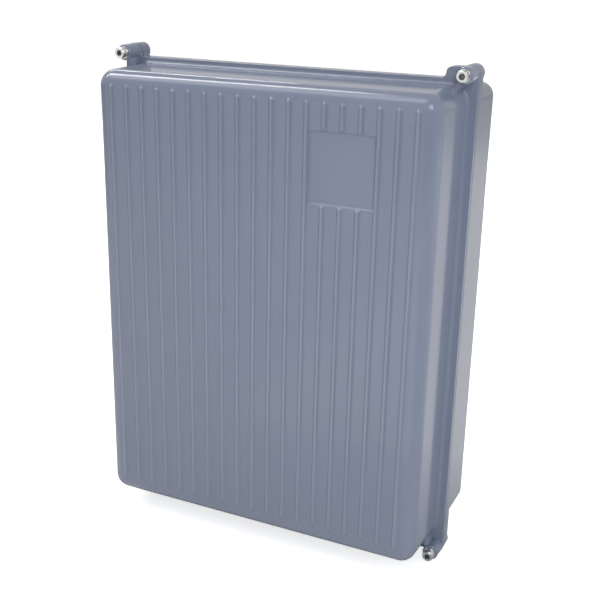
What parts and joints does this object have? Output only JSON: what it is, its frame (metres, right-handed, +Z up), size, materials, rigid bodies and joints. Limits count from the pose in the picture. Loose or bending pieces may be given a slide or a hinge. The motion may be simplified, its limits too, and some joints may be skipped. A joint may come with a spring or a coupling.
{
  "type": "aluminium enclosure",
  "caption": "Die-cast aluminium enclosure: a ribbed cover clamped by captive corner screws onto a sealed tray base with an inner mounting plate and plugged cable ports.",
  "frame": {"origin": "centre of the four tapped wall-mounting holes, in the plane of the rear pads' faces", "axes": "+X to the right seen from the front, +Y from the front to the back, into the wall, +Z up"},
  "size_m": [0.343, 0.1265, 0.458],
  "materials": {
    "painted_casting": "glossy blue-grey paint",
    "stainless": "bright machined",
    "zinc_plate": "zinc plated sheet",
    "seal_rubber": "matt black",
    "plug_plastic": "dark grey, fine matt"
  },
  "bodies": {
    "base": {"base": "painted_casting", "gasket": "seal_rubber", "mounting_plate": "zinc_plate", "plate_screw_tl": "stainless", "plate_screw_tr": "stainless", "plate_screw_bl": "stainless", "plate_screw_br": "stainless", "port_plug_left": "plug_plastic", "port_plug_middle": "plug_plastic", "port_plug_right": "plug_plastic", "port_seal_left": "seal_rubber", "port_seal_middle": "seal_rubber", "port_seal_right": "seal_rubber", "earth_screw": "stainless", "earth_washer": "stainless"},
    "cover": {"cover": "painted_casting", "cover_washer_tl": "stainless", "cover_washer_tr": "stainless", "cover_washer_bl": "stainless", "cover_washer_br": "stainless"},
    "ring_tl": {"retaining_ring_tl": "stainless"},
    "screw_tl": {"cover_screw_tl": "stainless"},
    "ring_tr": {"retaining_ring_tr": "stainless"},
    "screw_tr": {"cover_screw_tr": "stainless"},
    "ring_bl": {"retaining_ring_bl": "stainless"},
    "screw_bl": {"cover_screw_bl": "stainless"},
    "ring_br": {"retaining_ring_br": "stainless"},
    "screw_br": {"cover_screw_br": "stainless"}
  },
  "joints": [
    {"name": "cover_lift", "type": "slide", "parent": "base", "child": "cover", "axis": [0, -1, 0], "range_m": [0, 0.3]},
    {"name": "ring_tl_travel", "type": "slide", "parent": "cover", "child": "ring_tl", "axis": [0, -1, 0], "range_m": [0, 0.01]},
    {"name": "screw_tl_turn", "type": "hinge", "parent": "ring_tl", "child": "screw_tl", "pos_m": [-0.16375, -0.0555, 0.22125], "axis": [0, -1, 0], "range_deg": [0, 3600]},
    {"name": "ring_tr_travel", "type": "slide", "parent": "cover", "child": "ring_tr", "axis": [0, -1, 0], "range_m": [0, 0.01]},
    {"name": "screw_tr_turn", "type": "hinge", "parent": "ring_tr", "child": "screw_tr", "pos_m": [0.16375, -0.0555, 0.22125], "axis": [0, -1, 0], "range_deg": [0, 3600]},
    {"name": "ring_bl_travel", "type": "slide", "parent": "cover", "child": "ring_bl", "axis": [0, -1, 0], "range_m": [0, 0.01]},
    {"name": "screw_bl_turn", "type": "hinge", "parent": "ring_bl", "child": "screw_bl", "pos_m": [-0.16375, -0.0555, -0.22125], "axis": [0, -1, 0], "range_deg": [0, 3600]},
    {"name": "ring_br_travel", "type": "slide", "parent": "cover", "child": "ring_br", "axis": [0, -1, 0], "range_m": [0, 0.01]},
    {"name": "screw_br_turn", "type": "hinge", "parent": "ring_br", "child": "screw_br", "pos_m": [0.16375, -0.0555, -0.22125], "axis": [0, -1, 0], "range_deg": [0, 3600]}
  ],
  "couplings": [
    {"joint": "screw_tl_turn", "follows": "ring_tl_travel", "rad_per_m": 6283.2},
    {"joint": "screw_tr_turn", "follows": "ring_tr_travel", "rad_per_m": 6283.2},
    {"joint": "screw_bl_turn", "follows": "ring_bl_travel", "rad_per_m": 6283.2},
    {"joint": "screw_br_turn", "follows": "ring_br_travel", "rad_per_m": 6283.2}
  ]
}
